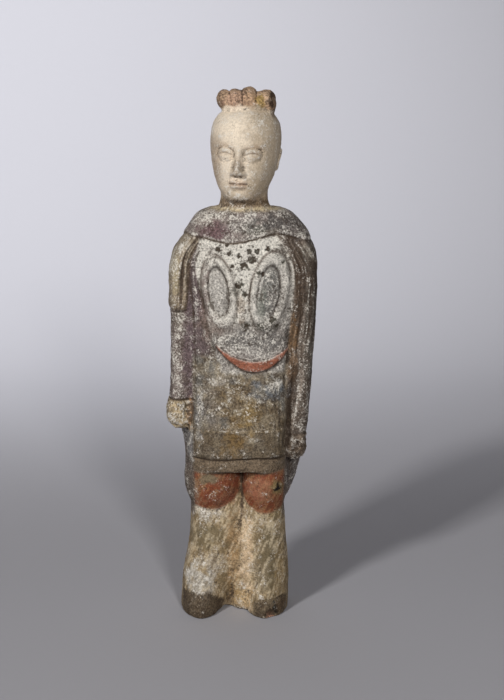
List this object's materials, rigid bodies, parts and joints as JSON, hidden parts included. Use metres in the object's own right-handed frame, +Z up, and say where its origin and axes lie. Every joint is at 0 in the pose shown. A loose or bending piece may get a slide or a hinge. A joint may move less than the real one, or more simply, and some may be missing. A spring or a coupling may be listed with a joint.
{
  "type": "tomb figure",
  "caption": "Standing robed tomb guard in painted earthenware, arms at the sides, armoured chest, sleeved cloak and wide trousers; it rests on its own flat sole.",
  "frame": {"origin": "on the floor, in the flat sole between the two feet", "axes": "+Z up through the head, -Y the way the chest faces, -X the figure's own right side"},
  "size_m": [0.0739, 0.0428, 0.2598],
  "materials": {
    "painted_earthenware": "matt, with worn cold-painted pigment over white slip"
  },
  "bodies": {
    "root": {"tomb_figure": "painted_earthenware"}
  },
  "joints": []
}
